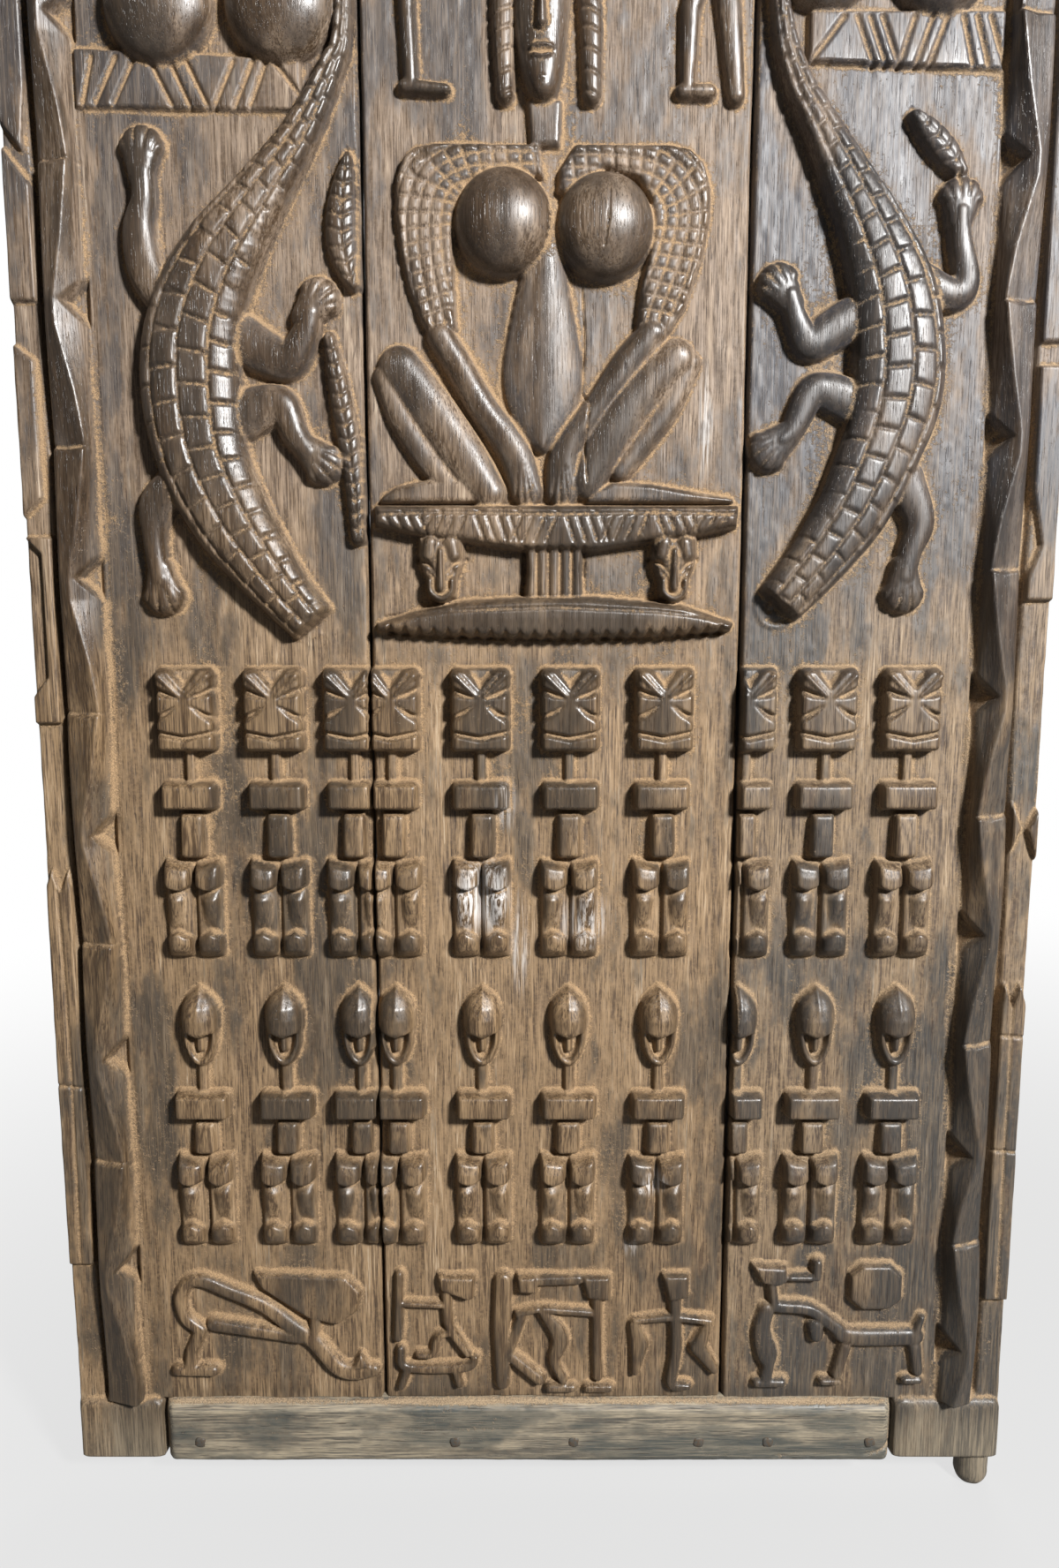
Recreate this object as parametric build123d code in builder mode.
from build123d import *
from dataclasses import dataclass
import os

# Carved plank door of a granary: three thick planks, a sill board nailed across their lower
# ends, and battens nailed across their backs. The leaf turns on two round wooden pivots cut
# from the right plank. X runs to the right along the front, Y to the back, Z up, in mm.
# The origin is on the pivot axis, where the lower pivot leaves the plank.

os.makedirs("parts", exist_ok=True)

# Leaf
leaf_width = 1220
leaf_height = 2100
plank_thickness = 46
centre_plank_width = 440
centre_plank_offset = 18
seam_gap = 5

# Pivots
pivot_radius = 22
pivot_inset = 24
lower_pivot_length = 50
upper_pivot_length = 60
pivot_chamfer = 5

# Sill board and the feet beside it
sill_height = 82
sill_thickness = 30
sill_proud = 14
sill_bow = 4
sill_edge_round = 10
left_foot_width = 112
right_foot_width = 140
foot_clearance = 7
foot_proud = 9
rebate_clearance = 0.3

# Battens on the back
batten_height = 110
batten_thickness = 34
batten_inset = 55
batten_edge_chamfer = 6
batten_end_distance = 190

# Nails
nail_radius = 3.5
nail_hole_clearance = 0.1
nail_head_width = 15
nail_head_thickness = 4
nail_head_chamfer = 1.5
nail_bite = 24
nail_tip_room = 1
sill_nail_height = 27
sill_nail_shares = [0.045, 0.398, 0.562, 0.735, 0.831, 0.972]
batten_nail_spread = 0.28
batten_nail_rise = 26

# Heights of the carving above the ground
carving_bite = 2
band_relief = 9
scene_relief = 13
neck_relief = 8
torso_relief = 15
shaft_relief = 13
limb_relief = 18
belly_relief = 12
sleeve_relief = 14
block_relief = 24
mask_relief = 24
seat_relief = 26
strap_relief = 30
body_relief = 24
back_relief = 38
dome_relief = 42
breast_relief = 50

# Twisted strap between the outer band and the panel
band_width = 33
channel_width = 8
channel_depth = 6
strap_width = 46
strap_pitch = 304
strap_start = 230
notch_length = 72
notch_depth = 24

# Rows of figures
figure_width = 68
leg_height = 120
leg_gap = 5
shaft_waist = 2
bulge_height = 30
ankle_height = 22
torso_width = 28
block_height = 34
block_round = 5
stack_gap = 6
neck_width = 13
neck_height = 38
lower_row_feet = 306
lower_torso_height = 40
upper_row_feet = 690
upper_torso_height = 52
mask_height = 104
mask_round = 4
mouth_height = 19
mouth_width = 4
face_cut_depth = 5
brow_drop = 28
brow_end = 11
back_share = 0.7
left_columns = [-17, 88, 183]
centre_columns = [-198, -90, 18, 131]
right_columns = [-178, -81, 20]

# Outlines of the carving are (x, z) points, and strips are (x, z, half width) stations. x is
# measured from the zero line of the plank's carving, and z from the foot of the leaf, but from its
# top for the top bands. The outer planks' zero lines lie a set distance from the seams.
left_zero_from_seam = 201.5
right_zero_from_seam = 183.5
domed_head = [(0, 92), (13, 82), (22, 58), (20, 40), (15, 14), (7, 0), (-7, 0), (-15, 14), (-20, 40),
              (-22, 58), (-13, 82)]
head_dome = [(0, 92), (13, 82), (22, 58), (12, 45), (0, 42), (-12, 45), (-22, 58), (-13, 82)]

left_crocodile = [(196, 1890, 5), (188, 1753, 14), (156, 1669, 18), (106, 1596, 33), (42, 1500, 54),
                  (9, 1394, 61), (8, 1334, 61), (20, 1276, 58), (71, 1183, 44), (104, 1139, 36),
                  (144, 1093, 18)]
left_crocodile_limbs = [
    [(-41, 1614, 20), (-41, 1574, 15), (-48, 1540, 20), (-41, 1495, 22), (-17, 1456, 20)],
    [(154, 1461, 20), (128, 1436, 16), (116, 1406, 22), (77, 1426, 22), (43, 1436, 20)],
    [(62, 1342, 22), (92, 1352, 22), (114, 1347, 18), (128, 1308, 14), (149, 1288, 20)],
    [(-12, 1268, 22), (-41, 1238, 22), (-46, 1199, 15), (-42, 1159, 14), (-38, 1140, 22)],
]
seam_pods = [
    [(171.5, 1416, 8), (181.5, 1377, 12), (189.5, 1317, 14), (196.5, 1248, 12), (197.5, 1200, 10)],
    [(186.5, 1620, 6), (186.5, 1554, 18), (189.5, 1500, 12)],
]
right_crocodile = [(-178, 1890, 5), (-168, 1758, 14), (-142, 1671, 20), (-97, 1583, 34), (-44, 1490, 50),
                   (-22, 1393, 56), (-24, 1344, 57), (-36, 1295, 56), (-85, 1203, 44), (-114, 1164, 38),
                   (-153, 1105, 24)]
right_crocodile_limbs = [
    [(-152, 1485, 22), (-137, 1446, 16), (-115, 1421, 22), (-81, 1446, 20), (-51, 1446, 16)],
    [(-150, 1298, 18), (-130, 1327, 14), (-110, 1367, 18), (-81, 1357, 20), (-51, 1347, 20)],
    [(48, 1574, 18), (55, 1540, 16), (68, 1495, 10), (48, 1475, 18), (8, 1490, 16)],
    [(8, 1248, 20), (18, 1214, 18), (5, 1189, 14), (-2, 1150, 20), (3, 1120, 18)],
]
right_cocoon = [(-1, 1649, 8), (19, 1629, 15), (42, 1606, 11)]

left_band = [(-113, 1734), (140, 1722), (140, 1668), (-113, 1672)]
left_top_band = [(-113, -155), (196, -155), (196, -210), (-113, -210)]
left_domes = [(-15, 1778), (119, 1780)]
right_band = [(-128, 1772), (90, 1772), (90, 1711), (-128, 1720)]
right_top_band = [(-178, -145), (90, -145), (90, -200), (-178, -200)]
right_domes = [(14, 1830), (-112, 1835)]
dome_radius = 62
dome_skirt = 5

left_shoulder = [(-20, 1635), (-160, 1635), (-180, 1615), (-183, 1539), (-167, 1450), (-147, 1427),
                 (-117, 1434), (-119, 1496), (-120, 1563), (-107, 1598), (-15, 1598)]
right_shoulder = [(12, 1635), (143, 1632), (163, 1608), (172, 1588), (167, 1549), (137, 1450), (123, 1430),
                  (88, 1430), (94, 1496), (120, 1546), (111, 1588), (5, 1595)]
belly = [(-10, 1556), (7, 1477), (31, 1398), (31, 1355), (9, 1325), (-15, 1301), (-48, 1321),
         (-66, 1398), (-43, 1477)]
breast_places = [(-64, 1540), (49, 1535)]
breast_radius = 53
seated_limbs = [
    [(-135, 1426, 17), (-114, 1396, 17), (-85, 1347, 18), (-48, 1298, 20), (-38, 1243, 18)],
    [(107, 1429, 18), (79, 1396, 18), (46, 1347, 17), (7, 1298, 18), (7, 1243, 18)],
    [(-181, 1391, 26), (-147, 1347, 27), (-112, 1298, 27), (-79, 1243, 22)],
    [(138, 1401, 24), (98, 1362, 26), (66, 1322, 28), (36, 1260, 20)],
    [(-199, 1382, 14), (-181, 1337, 16), (-157, 1298, 16), (-129, 1263, 15)],
    [(152, 1397, 16), (130, 1347, 15), (102, 1308, 14), (76, 1275, 12)],
]
seated_feet = [
    [(-207, 1244), (-167, 1254), (-122, 1264), (-102, 1261), (-83, 1244)],
    [(34, 1244), (71, 1261), (91, 1259), (150, 1249), (170, 1242)],
]
seated_head = [(-48, 1790), (-46, 1707), (-30, 1671), (3, 1671), (11, 1707), (13, 1790), (4, 1850),
               (-18, 1885), (-40, 1850)]
seated_neck = [(-34, 1680), (-30, 1630), (4, 1630), (6, 1680)]
braids = [
    [(-30, 1868, 12), (-56, 1820, 13), (-60, 1769, 14), (-58, 1684, 11)],
    [(-4, 1868, 12), (32, 1820, 13), (39, 1769, 14), (39, 1684, 11)],
]
seat = [(-212, 1235), (214, 1235), (211, 1208), (103, 1192), (50, 1182), (-41, 1182), (-100, 1192),
        (-212, 1211)]
seat_supports = [
    [(-159, 1202), (-114, 1202), (-117, 1150), (-124, 1122), (-149, 1122), (-156, 1159)],
    [(112, 1199), (166, 1199), (157, 1150), (149, 1123), (122, 1123), (115, 1159)],
    [(-38, 1190), (34, 1190), (34, 1128), (-38, 1128)],
]
seat_base = [(-213, 1100), (-165, 1115), (-107, 1128), (36, 1132), (149, 1122), (212, 1102), (208, 1092),
             (129, 1084), (-18, 1081), (-165, 1086), (-213, 1092)]
attendant_limbs = [
    [(-168, 1860, 13), (-167, 1773, 9), (-163, 1694, 9)],
    [(-170, 1694, 9), (-125, 1690, 7)],
    [(-150, 1980, 18), (-150, 1930, 14), (-160, 1860, 20)],
    [(172, 1860, 15), (148, 1773, 11), (146, 1694, 9)],
    [(140, 1688, 9), (170, 1688, 9)],
    [(178, 1860, 15), (191, 1773, 15), (201, 1684, 11)],
    [(172, 1980, 18), (172, 1930, 15), (176, 1860, 22)],
]
centre_top_band = [(-212, -55), (212, -55), (212, -95), (-212, -95)]

left_scene_strips = [
    [(-34, 184, 9), (-53, 201, 9), (-59, 229, 9), (-48, 250, 9), (-28, 253, 10), (4, 239, 10),
     (50, 218, 11), (86, 188, 12), (114, 167, 12), (142, 132, 12), (165, 124, 13), (192, 127, 10)],
    [(-17, 192, 10), (95, 173, 9)],
    [(-34, 184, 9), (-46, 156, 9), (-50, 130, 9)],
    [(-66, 127, 9), (-20, 126, 9)],
    [(116, 200, 7), (112, 170, 7)],
]
left_scene_outlines = [
    [(36, 266), (158, 261), (178, 239), (171, 211), (146, 192), (108, 201), (48, 243)],
    [(160, 128), (174, 155), (190, 132)],
]
centre_scene_strips = [
    [(-200, 262, 6), (-203, 173, 7)],
    [(-196, 221, 5), (-147, 219, 5)],
    [(-139, 234, 7), (-137, 197, 7), (-130, 178, 7), (-112, 150, 6)],
    [(-137, 180, 6), (-151, 173, 6), (-158, 150, 6), (-176, 148, 5)],
    [(-200, 157, 6), (-192, 131, 7), (-116, 131, 8), (-102, 145, 5)],
    [(-192, 127, 6), (-200, 103, 6)],
    [(-128, 127, 6), (-123, 106, 6)],
    [(-65, 253, 12), (-68, 190, 12), (-66, 108, 10)],
    [(-46, 206, 5), (-21, 213, 5)],
    [(-42, 201, 7), (-60, 150, 8), (-18, 113, 9)],
    [(-23, 253, 8), (32, 255, 8)],
    [(57, 234, 7), (57, 159, 7), (59, 117, 7)],
    [(46, 101, 7), (74, 101, 7)],
    [(50, 208, 6), (-14, 213, 6)],
    [(-14, 211, 7), (9, 173, 12), (2, 141, 8), (13, 113, 7)],
    [(-4, 101, 7), (25, 101, 7)],
    [(158, 234, 8), (161, 155, 8), (156, 108, 8), (177, 103, 6)],
    [(106, 197, 5), (156, 202, 6), (205, 196, 6)],
    [(106, 192, 8), (113, 164, 13), (108, 124, 6)],
    [(203, 192, 7), (190, 159, 12), (213, 127, 7)],
]
centre_scene_outlines = [
    [(-151, 263), (-102, 261), (-103, 229), (-112, 227), (-147, 241)],
    [(-48, 262), (-22, 262), (-20, 236), (-46, 238)],
    [(36, 262), (74, 262), (74, 226), (44, 230)],
    [(140, 264), (176, 264), (176, 230), (150, 226)],
]
right_scene_strips = [
    [(-101, 258, 5), (-65, 258, 5)],
    [(-67, 259, 7), (-66, 278, 7)],
    [(-124, 246, 6), (-120, 217, 7)],
    [(-130, 212, 11), (-136, 183, 12), (-129, 152, 15), (-126, 135, 9), (-129, 116, 9)],
    [(-140, 109, 7), (-108, 109, 7)],
    [(-115, 217, 9), (-73, 212, 9), (-40, 188, 10), (-18, 174, 13), (64, 174, 13)],
    [(-66, 190, 11), (-64, 176, 10)],
    [(64, 175, 7), (72, 202, 5)],
    [(-26, 160, 9), (-36, 121, 8)],
    [(-54, 111, 6), (-34, 111, 6)],
    [(65, 160, 9), (70, 126, 8)],
    [(54, 113, 6), (72, 113, 6)],
]
right_scene_outlines = [
    [(-152, 277), (-106, 274), (-104, 253), (-116, 246), (-138, 250)],
    [(-24, 262), (-8, 277), (28, 277), (45, 262), (45, 228), (28, 214), (-8, 214), (-24, 228)],
]

left_band_outlines = [
    [(-36, 2100), (0, 2100), (0, 1700), (-8, 1625), (-33, 1655), (-36, 1655)],
    [(-36, 1635), (0, 1590), (0, 1465), (-36, 1465)],
    [(-36, 1420), (-8, 1400), (-8, 1245), (-33, 1222), (-36, 1222)],
    [(-36, 1200), (-15, 1180), (-15, 1035), (-36, 1010), (-36, 978), (0, 978), (0, 1140), (0, 1200)],
    [(-36, 775), (-25, 800), (-15, 772), (-4, 800), (0, 770), (0, 275), (-36, 275)],
]
right_band_outlines = [
    [(36, 2100), (0, 2100), (0, 1420), (36, 1420)],
    [(36, 1395), (0, 1395), (0, 1260), (14, 1190), (0, 1150), (0, 1125), (36, 1125)],
    [(36, 1240), (36, 1150), (20, 1190)],
    [(0, 885), (13, 850), (0, 815)],
    [(36, 880), (20, 848), (36, 800)],
    [(36, 620), (25, 655), (15, 622), (5, 655), (0, 620), (0, 225), (36, 225)],
]

# Derived places
half_leaf = leaf_width / 2
half_thickness = plank_thickness / 2
leaf_middle = pivot_inset - half_leaf
centre_left_edge = centre_plank_offset - centre_plank_width / 2
centre_right_edge = centre_plank_offset + centre_plank_width / 2
left_zero_line = centre_left_edge - seam_gap - left_zero_from_seam
right_zero_line = centre_right_edge + seam_gap + right_zero_from_seam
sill_left = left_foot_width + foot_clearance - half_leaf
sill_right = half_leaf - right_foot_width - foot_clearance
sill_nail_places = [sill_left + share * (sill_right - sill_left) for share in sill_nail_shares]
batten_levels = {"lower": batten_end_distance, "middle": leaf_height / 2,
                 "upper": leaf_height - batten_end_distance}
rebate_depth = sill_thickness - sill_proud
rebate_height = sill_height + rebate_clearance
strap_inset = band_width + channel_width


def ground_at(middle):
    """Plane of the carved ground, from a middle line at the foot of the leaf, facing out."""
    return Plane(origin=(leaf_middle + middle, -half_thickness, 0), x_dir=(1, 0, 0), z_dir=(0, -1, 0))


@dataclass
class Plank:
    """A plank's place: the zero line of its carving, its edges from there, and its inward way."""

    zero_line: float
    left_edge: float
    right_edge: float
    inward: int

    @property
    def ground(self):
        """Plane of the plank's carved ground."""
        return ground_at(self.zero_line)

    @property
    def width(self):
        """Width from edge to edge."""
        return self.right_edge - self.left_edge

    @property
    def middle(self):
        """Middle between the edges, from the zero line."""
        return (self.left_edge + self.right_edge) / 2

    @property
    def outer_edge(self):
        """Edge that carries the outer band, from the zero line."""
        return self.left_edge if self.inward > 0 else self.right_edge


left_place = Plank(left_zero_line, -half_leaf - left_zero_line, left_zero_from_seam, 1)
centre_place = Plank(centre_plank_offset, -centre_plank_width / 2, centre_plank_width / 2, 0)
right_place = Plank(right_zero_line, -right_zero_from_seam, half_leaf - right_zero_line, -1)
leaf_ground = ground_at(0)
back_face = leaf_ground.offset(-plank_thickness)


def strip(stations):
    """Outline of a limb or stem that follows (x, z, half width) stations."""
    one_side = []
    other_side = []
    for index, (x, z, half_width) in enumerate(stations):
        before = stations[max(index - 1, 0)]
        after = stations[min(index + 1, len(stations) - 1)]
        along = Vector(after[0] - before[0], after[1] - before[1]).normalized()
        across = Vector(-along.Y, along.X) * half_width
        one_side.append((x + across.X, z + across.Y))
        other_side.append((x - across.X, z - across.Y))
    return one_side + other_side[::-1]


def shifted(outline, x, z):
    """The outline moved by x and z."""
    return [(point[0] + x, point[1] + z) for point in outline]


def narrowed(stations, share):
    """The stations with each half width cut to a share."""
    return [(x, z, half_width * share) for x, z, half_width in stations]


def keep_within(plank):
    """Trim the sketch being drawn to the plank's own width and height."""
    with Locations((plank.middle, leaf_height / 2)):
        Rectangle(plank.width, leaf_height, mode=Mode.INTERSECT)


def raised(plank, outlines, relief):
    """Solids that stand out from a plank's ground by a relief, from closed outlines."""
    solids = []
    for outline in outlines:
        with BuildPart() as form:
            with BuildSketch(plank.ground.offset(-carving_bite)):
                with BuildLine():
                    Polyline(*outline, close=True)
                make_face()
                keep_within(plank)
            extrude(amount=carving_bite + relief)
        solids += form.part.solids()
    return solids


def raised_blocks(plank, places, width, height, relief, corner):
    """Rounded blocks that stand out from a plank's ground, each centred on its place."""
    with BuildPart() as blocks:
        with BuildSketch(plank.ground.offset(-carving_bite)):
            with Locations(*places):
                RectangleRounded(width, height, corner)
            keep_within(plank)
        extrude(amount=carving_bite + relief)
    return blocks.part.solids()


def raised_domes(plank, places, radius, relief):
    """Round domes that stand out from a plank's ground, each over its place."""
    domes = []
    for place in places:
        with BuildPart() as dome:
            with BuildSketch(plank.ground.offset(-carving_bite)):
                with Locations(place):
                    Circle(radius)
            extrude(amount=carving_bite + relief)
            fillet(dome.faces().sort_by(Axis.Y)[0].edges(), radius=relief - dome_skirt)
        domes += dome.part.solids()
    return domes


def figure_bodies(plank, columns, feet, torso_height):
    """Legs, torsos, shoulder blocks and necks of a row of figures, and the height of their chins."""
    leg_width = (figure_width - leg_gap) / 2
    leg_places = [x + side * (leg_width + leg_gap) / 2 for x in columns for side in (-1, 1)]
    hips = feet + leg_height
    torso_foot = hips + stack_gap
    shoulder_foot = torso_foot + torso_height + stack_gap
    chin = shoulder_foot + block_height + neck_height
    solids = raised_blocks(plank, [(x, feet + leg_height / 2) for x in leg_places],
                           leg_width - 2 * shaft_waist, leg_height - 2 * shaft_waist, shaft_relief,
                           block_round)
    solids += raised_blocks(plank, [(x, hips - bulge_height / 2) for x in leg_places], leg_width,
                            bulge_height, block_relief, block_round)
    solids += raised_blocks(plank, [(x, feet + ankle_height / 2) for x in leg_places], leg_width,
                            ankle_height, torso_relief, block_round)
    solids += raised_blocks(plank, [(x, torso_foot + torso_height / 2) for x in columns], torso_width,
                            torso_height, torso_relief, block_round)
    solids += raised_blocks(plank, [(x, shoulder_foot + block_height / 2) for x in columns],
                            figure_width, block_height, block_relief, block_round)
    solids += raised_blocks(plank, [(x, chin - neck_height / 2) for x in columns], neck_width,
                            neck_height + 2 * stack_gap, neck_relief, mask_round)
    return solids, chin


def masked_row(plank, columns):
    """The upper row of figures, with square faces that have a brow and a mouth cut in."""
    solids, chin = figure_bodies(plank, columns, upper_row_feet, upper_torso_height)
    crown = chin + mask_height
    brow_reach = figure_width / 2 - brow_end
    with BuildPart() as masks:
        with BuildSketch(plank.ground.offset(-carving_bite)):
            with Locations(*[(x, chin + mask_height / 2) for x in columns]):
                RectangleRounded(figure_width, mask_height, mask_round)
            keep_within(plank)
        extrude(amount=carving_bite + mask_relief)
        with BuildSketch(plank.ground.offset(mask_relief)):
            with Locations(*[(x, chin + mouth_height) for x in columns]):
                Rectangle(figure_width, mouth_width)
            for x in columns:
                with BuildLine():
                    Polyline((x - brow_reach, crown), (x, crown - brow_drop), (x + brow_reach, crown),
                             close=True)
                make_face()
        extrude(amount=-face_cut_depth, mode=Mode.SUBTRACT)
    return solids + masks.part.solids()


def domed_row(plank, columns):
    """The lower row of figures, with pointed, domed heads."""
    solids, chin = figure_bodies(plank, columns, lower_row_feet, lower_torso_height)
    solids += raised(plank, [shifted(domed_head, x, chin) for x in columns], torso_relief)
    solids += raised(plank, [shifted(head_dome, x, chin) for x in columns], mask_relief)
    return solids


def crocodile(plank, stations, limbs):
    """A crocodile: its limbs, its body and the raised back along it."""
    solids = raised(plank, [strip(limb) for limb in limbs], limb_relief)
    solids += raised(plank, [strip(stations)], body_relief)
    solids += raised(plank, [strip(narrowed(stations, back_share))], back_relief)
    return solids


def twisted_strap(plank):
    """A twisted strap beside the channel of the outer band, notched on its inner side once a turn."""
    strap_middle = plank.outer_edge + plank.inward * (strap_inset + strap_width / 2)
    inner_edge = plank.outer_edge + plank.inward * (strap_inset + strap_width)
    notch_tip = inner_edge - plank.inward * notch_depth
    length = leaf_height - sill_height
    with BuildPart() as strap:
        with BuildSketch(plank.ground.offset(-carving_bite)):
            with Locations((strap_middle, sill_height + length / 2)):
                Rectangle(strap_width, length)
            for turn in range(int(length // strap_pitch) + 1):
                notch_middle = strap_start + turn * strap_pitch
                with BuildLine():
                    Polyline((inner_edge, notch_middle - notch_length / 2), (notch_tip, notch_middle),
                             (inner_edge, notch_middle + notch_length / 2), close=True)
                make_face(mode=Mode.SUBTRACT)
        extrude(amount=carving_bite + strap_relief)
    return strap.part.solids()


def outer_plank_carving(plank, band_outlines, foot_width):
    """What both outer planks have: the band on the outer edge, the twisted strap and the foot."""
    band_edge = plank.outer_edge + plank.inward * band_width
    solids = raised(plank, [shifted(outline, band_edge, 0) for outline in band_outlines], band_relief)
    solids += twisted_strap(plank)
    solids += raised_blocks(plank, [(plank.outer_edge + plank.inward * foot_width / 2, sill_height / 2)],
                            foot_width, sill_height, foot_proud, block_round)
    return solids


def batten_nail_places(level):
    """Places of a batten's nails: two in each plank, one high and one low."""
    return [(plank.zero_line + plank.middle + side * batten_nail_spread * plank.width,
             level + side * batten_nail_rise)
            for plank in (left_place, centre_place, right_place) for side in (-1, 1)]


def plank_before_carving(plank):
    """The plank with its channel, the sill board's rebate and the holes of the nails that enter it."""
    with BuildSketch(plank.ground) as outline:
        with Locations((plank.middle, leaf_height / 2)):
            Rectangle(plank.width, leaf_height)
    extrude(outline.sketch, amount=-plank_thickness)
    if plank.inward:
        length = leaf_height - sill_height
        channel_middle = plank.outer_edge + plank.inward * (band_width + channel_width / 2)
        with BuildSketch(plank.ground) as channel:
            with Locations((channel_middle, sill_height + length / 2)):
                Rectangle(channel_width, length)
        extrude(channel.sketch, amount=-channel_depth, mode=Mode.SUBTRACT)
    with BuildSketch(leaf_ground.offset(-rebate_depth)) as rebate:
        with Locations(((sill_left + sill_right) / 2, 0)):
            Rectangle(sill_right - sill_left + 2 * foot_clearance, 2 * rebate_height)
    extrude(rebate.sketch, amount=rebate_depth, mode=Mode.SUBTRACT)
    hole_radius = nail_radius + nail_hole_clearance
    hole_depth = nail_bite + nail_tip_room
    with BuildSketch(leaf_ground.offset(-rebate_depth)) as sill_holes:
        with Locations(*[(x, sill_nail_height) for x in sill_nail_places]):
            Circle(hole_radius)
    extrude(sill_holes.sketch, amount=-hole_depth, mode=Mode.SUBTRACT)
    with BuildSketch(back_face) as batten_holes:
        for level in batten_levels.values():
            with Locations(*batten_nail_places(level)):
                Circle(hole_radius)
    extrude(batten_holes.sketch, amount=hole_depth, mode=Mode.SUBTRACT)


def write_piece(piece, name):
    """Label a finished piece and write it to its STEP file."""
    piece.part.label = name
    export_step(piece.part, f"parts/{name}.step")


# Left plank: outer band, twisted strap, crocodile, two and a half columns of figures, and a foot
left_carving = outer_plank_carving(left_place, left_band_outlines, left_foot_width)
left_carving += raised(left_place, [left_band, shifted(left_top_band, 0, leaf_height)], band_relief)
left_carving += crocodile(left_place, left_crocodile, left_crocodile_limbs)
left_carving += raised(left_place, [strip(pod) for pod in seam_pods], limb_relief)
left_carving += raised_domes(left_place, left_domes, dome_radius, dome_relief)
left_carving += masked_row(left_place, left_columns)
left_carving += domed_row(left_place, left_columns)
left_carving += raised(left_place, [strip(stations) for stations in left_scene_strips], scene_relief)
left_carving += raised(left_place, left_scene_outlines, scene_relief)
with BuildPart() as left_plank:
    plank_before_carving(left_place)
    add(left_carving, clean=False)
write_piece(left_plank, "left_plank")

# Centre plank: seated woman on a stool, between two attendants, over four columns of figures
centre_carving = raised(centre_place, [belly], belly_relief)
centre_carving += raised(centre_place, [left_shoulder, right_shoulder], sleeve_relief)
centre_carving += raised(centre_place, [strip(limb) for limb in seated_limbs], limb_relief)
centre_carving += raised(centre_place, seated_feet + [seated_neck], sleeve_relief)
centre_carving += raised(centre_place, [strip(braid) for braid in braids], limb_relief)
centre_carving += raised(centre_place, [seated_head], strap_relief)
centre_carving += raised_domes(centre_place, breast_places, breast_radius, breast_relief)
centre_carving += raised(centre_place, seat_supports, limb_relief)
centre_carving += raised(centre_place, [seat, seat_base], seat_relief)
centre_carving += raised(centre_place, [strip(limb) for limb in attendant_limbs], scene_relief)
centre_carving += raised(centre_place, [shifted(centre_top_band, 0, leaf_height)], band_relief)
centre_carving += masked_row(centre_place, centre_columns)
centre_carving += domed_row(centre_place, centre_columns)
centre_carving += raised(centre_place, [strip(stations) for stations in centre_scene_strips],
                         scene_relief)
centre_carving += raised(centre_place, centre_scene_outlines, scene_relief)
with BuildPart() as centre_plank:
    plank_before_carving(centre_place)
    add(centre_carving, clean=False)
write_piece(centre_plank, "centre_plank")

# Right plank: like the left one, with the two pivots that the leaf turns on
right_carving = outer_plank_carving(right_place, right_band_outlines, right_foot_width)
right_carving += raised(right_place, [right_band, shifted(right_top_band, 0, leaf_height)], band_relief)
right_carving += crocodile(right_place, right_crocodile, right_crocodile_limbs)
right_carving += raised(right_place, [strip(right_cocoon)], limb_relief)
right_carving += raised_domes(right_place, right_domes, dome_radius, dome_relief)
right_carving += masked_row(right_place, right_columns)
right_carving += domed_row(right_place, right_columns)
right_carving += raised(right_place, [strip(stations) for stations in right_scene_strips],
                        scene_relief)
right_carving += raised(right_place, right_scene_outlines, scene_relief)
with BuildPart() as right_plank:
    plank_before_carving(right_place)
    with BuildSketch(Plane.XY):
        Circle(pivot_radius)
    extrude(amount=-lower_pivot_length)
    with BuildSketch(Plane.XY.offset(leaf_height)):
        Circle(pivot_radius)
    extrude(amount=upper_pivot_length)
    pivot_ends = right_plank.edges().filter_by(GeomType.CIRCLE).group_by(Axis.Z)
    chamfer(pivot_ends[0] + pivot_ends[-1], length=pivot_chamfer)
    add(right_carving, clean=False)
write_piece(right_plank, "right_plank")

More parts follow.
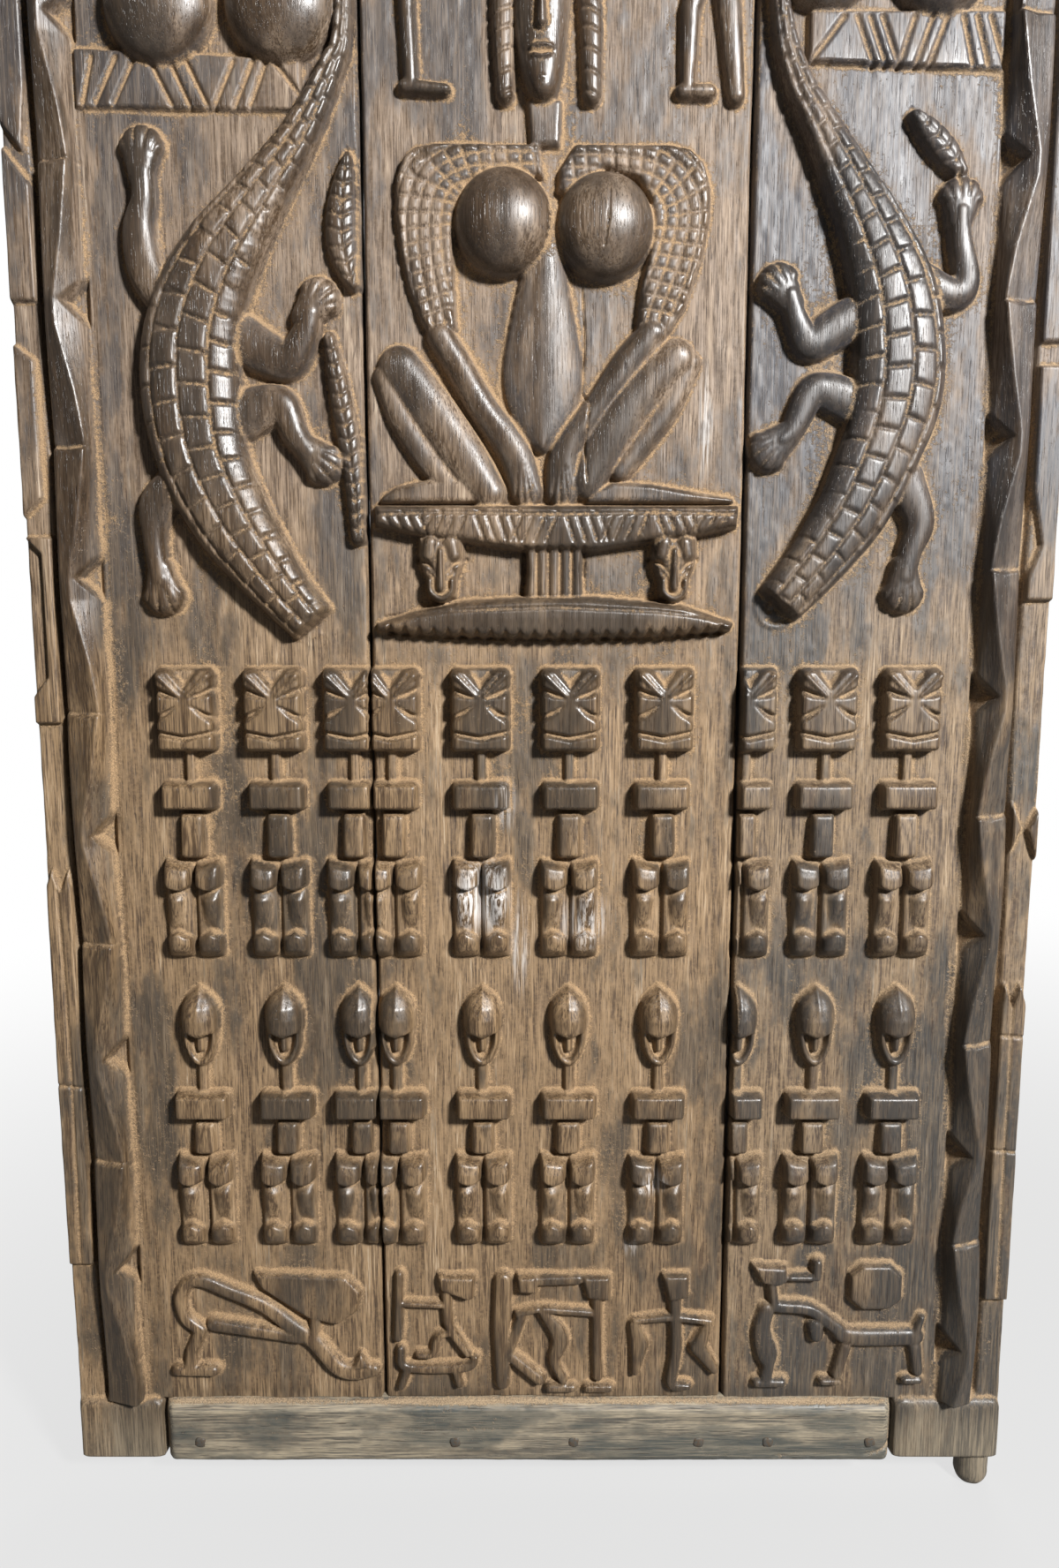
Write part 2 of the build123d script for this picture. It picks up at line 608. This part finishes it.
# Sill board: let into the planks' lower ends between the feet, bowed along its lower edge
with BuildPart() as sill_board:
    with BuildSketch(leaf_ground.offset(-rebate_depth)) as sill_outline:
        with BuildLine():
            Polyline((sill_left, 0), (sill_left, sill_height), (sill_right, sill_height), (sill_right, 0))
            ThreePointArc((sill_right, 0), ((sill_left + sill_right) / 2, -sill_bow), (sill_left, 0))
        make_face()
    extrude(sill_outline.sketch, amount=sill_thickness)
    front_edges = sill_board.faces().sort_by(Axis.Y)[0].edges()
    fillet(front_edges.filter_by(GeomType.LINE), radius=sill_edge_round)
    with BuildSketch(leaf_ground.offset(sill_proud)) as sill_board_holes:
        with Locations(*[(x, sill_nail_height) for x in sill_nail_places]):
            Circle(nail_radius + nail_hole_clearance)
    extrude(sill_board_holes.sketch, amount=-sill_thickness, mode=Mode.SUBTRACT)
write_piece(sill_board, "sill_board")


def nail_group(head_plane, places, board_thickness):
    """Nails with square heads that sit on a board's face and shanks that pass into the planks."""
    with BuildPart() as nails:
        with BuildSketch(head_plane):
            with Locations(*places):
                Rectangle(nail_head_width, nail_head_width)
        extrude(amount=nail_head_thickness)
        head_faces = nails.faces().sort_by(Axis(head_plane.origin, head_plane.z_dir))[-len(places):]
        chamfer(head_faces.edges(), length=nail_head_chamfer)
        with BuildSketch(head_plane):
            with Locations(*places):
                Circle(nail_radius)
        extrude(amount=-board_thickness - nail_bite)
    return nails


write_piece(nail_group(leaf_ground.offset(sill_proud), [(x, sill_nail_height) for x in sill_nail_places],
                       sill_thickness), "sill_nails")

# Battens: three boards across the planks' backs, each held by its own nails
for batten_name, batten_level in batten_levels.items():
    nail_places = batten_nail_places(batten_level)
    with BuildPart() as batten:
        with BuildSketch(back_face) as batten_outline:
            with Locations((0, batten_level)):
                Rectangle(leaf_width - 2 * batten_inset, batten_height)
        extrude(batten_outline.sketch, amount=-batten_thickness)
        chamfer(batten.faces().sort_by(Axis.Y)[-1].edges(), length=batten_edge_chamfer)
        with BuildSketch(back_face) as batten_holes:
            with Locations(*nail_places):
                Circle(nail_radius + nail_hole_clearance)
        extrude(batten_holes.sketch, amount=-batten_thickness, mode=Mode.SUBTRACT)
    write_piece(batten, f"{batten_name}_batten")
    batten_back = Plane(origin=(leaf_middle, half_thickness + batten_thickness, 0), x_dir=(-1, 0, 0),
                        z_dir=(0, 1, 0))
    write_piece(nail_group(batten_back, [(-x, z) for x, z in nail_places], batten_thickness),
                f"{batten_name}_batten_nails")
